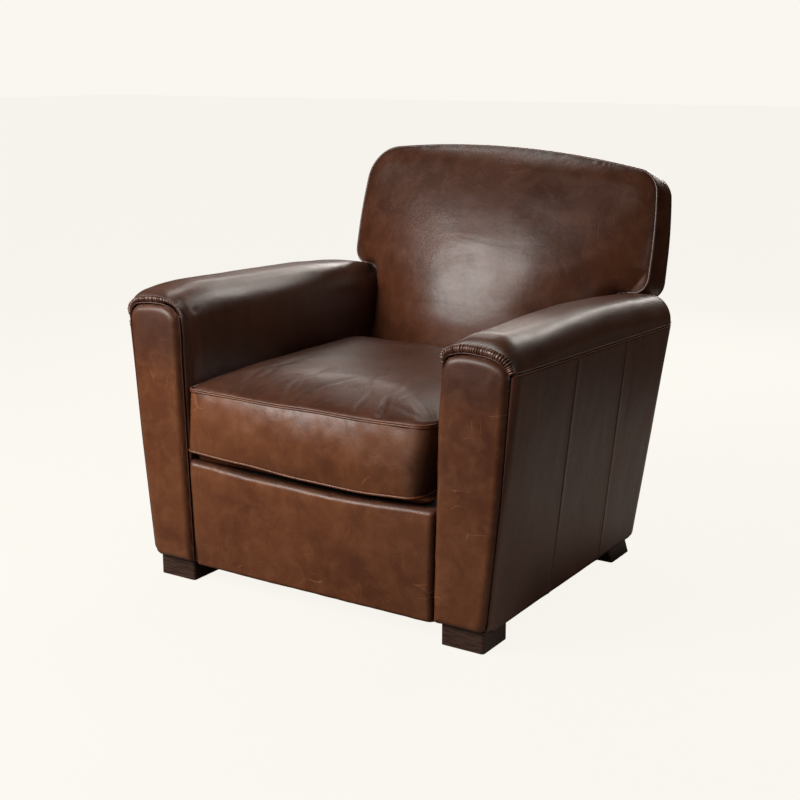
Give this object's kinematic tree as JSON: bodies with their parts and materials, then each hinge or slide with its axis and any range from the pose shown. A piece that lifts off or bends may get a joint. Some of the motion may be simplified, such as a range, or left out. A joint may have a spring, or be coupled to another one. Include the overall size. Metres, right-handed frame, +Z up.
{
  "type": "leather club chair",
  "caption": "Low leather club chair with flared padded arms, a loose boxed seat cushion, a crowned tight back and stained block feet, worn and softly creased.",
  "frame": {"origin": "on the floor, under the middle of the chair's bounding box", "axes": "+X to the viewer's right of someone facing the chair's front, +Y from the front to the back, +Z up"},
  "size_m": [0.8702, 0.8264, 0.8299],
  "materials": {
    "leather": "worn waxed chestnut leather with a soft gloss",
    "leather_dark": "worn waxed dark brown leather with a soft gloss",
    "stained_wood": "dark stained, satin",
    "beech": "unfinished frame timber",
    "plywood": "unfinished plywood",
    "steel": "plain spring and bolt steel",
    "nylon": "matt",
    "foam": "upholstery foam and wadding",
    "lining_cloth": "black non-woven lining",
    "webbing": "woven elastic webbing"
  },
  "bodies": {
    "root": {"back_web_across_1": "webbing", "back_web_across_2": "webbing", "back_web_down_1": "webbing", "back_web_down_2": "webbing", "crest_rail": "beech", "dust_cover": "lining_cloth", "front_border": "leather", "front_left_corner_block": "beech", "front_left_foot": "stained_wood", "front_left_foot_bolt": "steel", "front_left_glide": "nylon", "front_rail": "beech", "front_right_corner_block": "beech", "front_right_foot": "stained_wood", "front_right_foot_bolt": "steel", "front_right_glide": "nylon", "inside_back": "leather", "left_arm_cover": "leather_dark", "left_arm_facing": "leather", "left_arm_padding": "foam", "left_arm_rail": "beech", "left_back_post": "beech", "left_front_board": "beech", "left_inside_arm_board": "plywood", "left_outside_arm": "leather_dark", "left_seat_rail": "beech", "left_side_rail": "beech", "outside_back": "leather_dark", "rear_bottom_rail": "beech", "rear_left_corner_block": "beech", "rear_left_foot": "stained_wood", "rear_left_foot_bolt": "steel", "rear_left_glide": "nylon", "rear_right_corner_block": "beech", "rear_right_foot": "stained_wood", "rear_right_foot_bolt": "steel", "rear_right_glide": "nylon", "rear_seat_rail": "beech", "right_arm_cover": "leather_dark", "right_arm_facing": "leather", "right_arm_padding": "foam", "right_arm_rail": "beech", "right_back_post": "beech", "right_front_board": "beech", "right_inside_arm_board": "plywood", "right_outside_arm": "leather_dark", "right_seat_rail": "beech", "right_side_rail": "beech", "seat_cushion_core": "foam", "seat_cushion_cover": "leather", "seat_deck": "lining_cloth", "seat_spring_1": "steel", "seat_spring_2": "steel", "seat_spring_3": "steel", "seat_spring_4": "steel", "seat_spring_5": "steel"}
  },
  "joints": []
}
